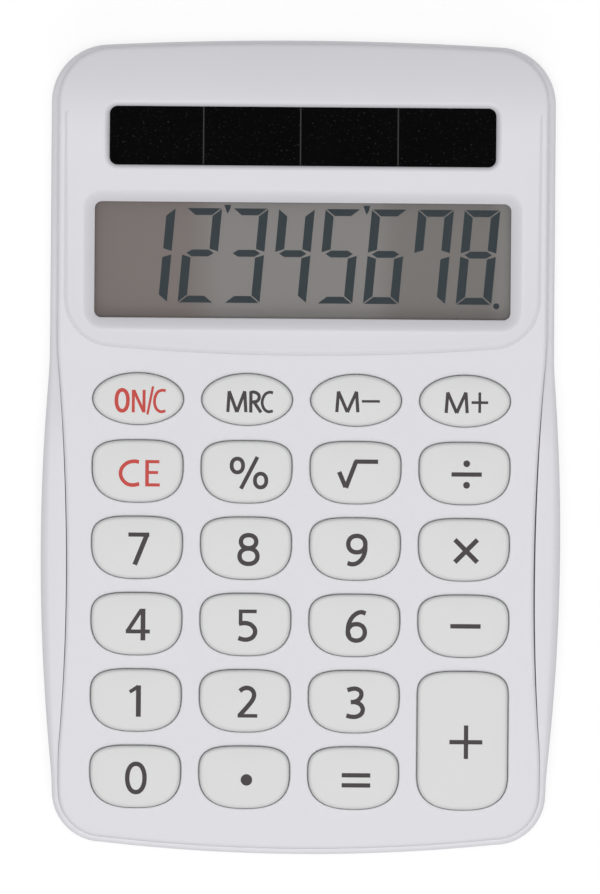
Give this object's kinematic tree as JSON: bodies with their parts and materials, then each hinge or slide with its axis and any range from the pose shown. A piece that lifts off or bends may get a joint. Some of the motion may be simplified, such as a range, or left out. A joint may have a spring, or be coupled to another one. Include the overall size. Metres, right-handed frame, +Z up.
{
  "type": "calculator",
  "caption": "Slim solar calculator: two-shell white case with swollen grips, raised display hood, sunk display and solar windows, and domed keys that press down and spring back.",
  "frame": {"origin": "under the middle of the case, on the surface that the rubber feet stand on", "axes": "+X to the user's right, +Y towards the display end, +Z up out of the keys"},
  "size_m": [0.0722, 0.1128, 0.0118],
  "materials": {
    "white_plastic": "fine satin",
    "shell_plastic": "fine satin",
    "key_plastic": "satin",
    "clear_window": "gloss",
    "polariser_film": "gloss",
    "display_glass": "gloss",
    "reflector_film": "satin",
    "ribbon_film": "satin",
    "solar_glass": "gloss",
    "red_sleeve": "satin",
    "black_sleeve": "satin",
    "board_laminate": "satin",
    "black_resin": "gloss",
    "capacitor_sleeve": "gloss",
    "diode_glass": "gloss",
    "silicone": "matte",
    "screw_steel": "satin",
    "foot_rubber": "matte"
  },
  "bodies": {
    "case": {"front_cover": "white_plastic", "rear_cover": "shell_plastic", "display_window": "clear_window", "lcd_front_polariser": "polariser_film", "lcd_front_glass": "display_glass", "lcd_rear_glass": "display_glass", "lcd_reflector": "reflector_film", "lcd_connector": "ribbon_film", "solar_cell": "solar_glass", "solar_wire_red": "red_sleeve", "solar_wire_black": "black_sleeve", "circuit_board": "board_laminate", "chip_cover": "black_resin", "storage_capacitor": "capacitor_sleeve", "clamp_diode": "diode_glass", "key_membrane": "silicone", "case_screw_1": "screw_steel", "case_screw_2": "screw_steel", "case_screw_3": "screw_steel", "case_screw_4": "screw_steel", "board_screw_1": "screw_steel", "board_screw_2": "screw_steel", "board_screw_3": "screw_steel", "board_screw_4": "screw_steel", "rubber_foot_1": "foot_rubber", "rubber_foot_2": "foot_rubber", "rubber_foot_3": "foot_rubber", "rubber_foot_4": "foot_rubber"},
    "key_on_clear": {"key_on_clear": "key_plastic"},
    "key_memory_recall": {"key_memory_recall": "key_plastic"},
    "key_memory_minus": {"key_memory_minus": "key_plastic"},
    "key_memory_plus": {"key_memory_plus": "key_plastic"},
    "key_clear_entry": {"key_clear_entry": "key_plastic"},
    "key_percent": {"key_percent": "key_plastic"},
    "key_square_root": {"key_square_root": "key_plastic"},
    "key_divide": {"key_divide": "key_plastic"},
    "key_7": {"key_7": "key_plastic"},
    "key_8": {"key_8": "key_plastic"},
    "key_9": {"key_9": "key_plastic"},
    "key_multiply": {"key_multiply": "key_plastic"},
    "key_4": {"key_4": "key_plastic"},
    "key_5": {"key_5": "key_plastic"},
    "key_6": {"key_6": "key_plastic"},
    "key_minus": {"key_minus": "key_plastic"},
    "key_1": {"key_1": "key_plastic"},
    "key_2": {"key_2": "key_plastic"},
    "key_3": {"key_3": "key_plastic"},
    "key_plus": {"key_plus": "key_plastic"},
    "key_0": {"key_0": "key_plastic"},
    "key_point": {"key_point": "key_plastic"},
    "key_equals": {"key_equals": "key_plastic"}
  },
  "joints": [
    {"name": "key_on_clear_press", "type": "slide", "parent": "case", "child": "key_on_clear", "axis": [0, 0, 1], "range_m": [-0.0012, 0], "stiffness_N_per_m": 400, "springref_m": 0.0003, "deforming": ["key_membrane"]},
    {"name": "key_memory_recall_press", "type": "slide", "parent": "case", "child": "key_memory_recall", "axis": [0, 0, 1], "range_m": [-0.0012, 0], "stiffness_N_per_m": 400, "springref_m": 0.0003, "deforming": ["key_membrane"]},
    {"name": "key_memory_minus_press", "type": "slide", "parent": "case", "child": "key_memory_minus", "axis": [0, 0, 1], "range_m": [-0.0012, 0], "stiffness_N_per_m": 400, "springref_m": 0.0003, "deforming": ["key_membrane"]},
    {"name": "key_memory_plus_press", "type": "slide", "parent": "case", "child": "key_memory_plus", "axis": [0, 0, 1], "range_m": [-0.0012, 0], "stiffness_N_per_m": 400, "springref_m": 0.0003, "deforming": ["key_membrane"]},
    {"name": "key_clear_entry_press", "type": "slide", "parent": "case", "child": "key_clear_entry", "axis": [0, 0, 1], "range_m": [-0.0012, 0], "stiffness_N_per_m": 400, "springref_m": 0.0003, "deforming": ["key_membrane"]},
    {"name": "key_percent_press", "type": "slide", "parent": "case", "child": "key_percent", "axis": [0, 0, 1], "range_m": [-0.0012, 0], "stiffness_N_per_m": 400, "springref_m": 0.0003, "deforming": ["key_membrane"]},
    {"name": "key_square_root_press", "type": "slide", "parent": "case", "child": "key_square_root", "axis": [0, 0, 1], "range_m": [-0.0012, 0], "stiffness_N_per_m": 400, "springref_m": 0.0003, "deforming": ["key_membrane"]},
    {"name": "key_divide_press", "type": "slide", "parent": "case", "child": "key_divide", "axis": [0, 0, 1], "range_m": [-0.0012, 0], "stiffness_N_per_m": 400, "springref_m": 0.0003, "deforming": ["key_membrane"]},
    {"name": "key_7_press", "type": "slide", "parent": "case", "child": "key_7", "axis": [0, 0, 1], "range_m": [-0.0012, 0], "stiffness_N_per_m": 400, "springref_m": 0.0003, "deforming": ["key_membrane"]},
    {"name": "key_8_press", "type": "slide", "parent": "case", "child": "key_8", "axis": [0, 0, 1], "range_m": [-0.0012, 0], "stiffness_N_per_m": 400, "springref_m": 0.0003, "deforming": ["key_membrane"]},
    {"name": "key_9_press", "type": "slide", "parent": "case", "child": "key_9", "axis": [0, 0, 1], "range_m": [-0.0012, 0], "stiffness_N_per_m": 400, "springref_m": 0.0003, "deforming": ["key_membrane"]},
    {"name": "key_multiply_press", "type": "slide", "parent": "case", "child": "key_multiply", "axis": [0, 0, 1], "range_m": [-0.0012, 0], "stiffness_N_per_m": 400, "springref_m": 0.0003, "deforming": ["key_membrane"]},
    {"name": "key_4_press", "type": "slide", "parent": "case", "child": "key_4", "axis": [0, 0, 1], "range_m": [-0.0012, 0], "stiffness_N_per_m": 400, "springref_m": 0.0003, "deforming": ["key_membrane"]},
    {"name": "key_5_press", "type": "slide", "parent": "case", "child": "key_5", "axis": [0, 0, 1], "range_m": [-0.0012, 0], "stiffness_N_per_m": 400, "springref_m": 0.0003, "deforming": ["key_membrane"]},
    {"name": "key_6_press", "type": "slide", "parent": "case", "child": "key_6", "axis": [0, 0, 1], "range_m": [-0.0012, 0], "stiffness_N_per_m": 400, "springref_m": 0.0003, "deforming": ["key_membrane"]},
    {"name": "key_minus_press", "type": "slide", "parent": "case", "child": "key_minus", "axis": [0, 0, 1], "range_m": [-0.0012, 0], "stiffness_N_per_m": 400, "springref_m": 0.0003, "deforming": ["key_membrane"]},
    {"name": "key_1_press", "type": "slide", "parent": "case", "child": "key_1", "axis": [0, 0, 1], "range_m": [-0.0012, 0], "stiffness_N_per_m": 400, "springref_m": 0.0003, "deforming": ["key_membrane"]},
    {"name": "key_2_press", "type": "slide", "parent": "case", "child": "key_2", "axis": [0, 0, 1], "range_m": [-0.0012, 0], "stiffness_N_per_m": 400, "springref_m": 0.0003, "deforming": ["key_membrane"]},
    {"name": "key_3_press", "type": "slide", "parent": "case", "child": "key_3", "axis": [0, 0, 1], "range_m": [-0.0012, 0], "stiffness_N_per_m": 400, "springref_m": 0.0003, "deforming": ["key_membrane"]},
    {"name": "key_plus_press", "type": "slide", "parent": "case", "child": "key_plus", "axis": [0, 0, 1], "range_m": [-0.0012, 0], "stiffness_N_per_m": 400, "springref_m": 0.0003, "deforming": ["key_membrane"]},
    {"name": "key_0_press", "type": "slide", "parent": "case", "child": "key_0", "axis": [0, 0, 1], "range_m": [-0.0012, 0], "stiffness_N_per_m": 400, "springref_m": 0.0003, "deforming": ["key_membrane"]},
    {"name": "key_point_press", "type": "slide", "parent": "case", "child": "key_point", "axis": [0, 0, 1], "range_m": [-0.0012, 0], "stiffness_N_per_m": 400, "springref_m": 0.0003, "deforming": ["key_membrane"]},
    {"name": "key_equals_press", "type": "slide", "parent": "case", "child": "key_equals", "axis": [0, 0, 1], "range_m": [-0.0012, 0], "stiffness_N_per_m": 400, "springref_m": 0.0003, "deforming": ["key_membrane"]}
  ]
}
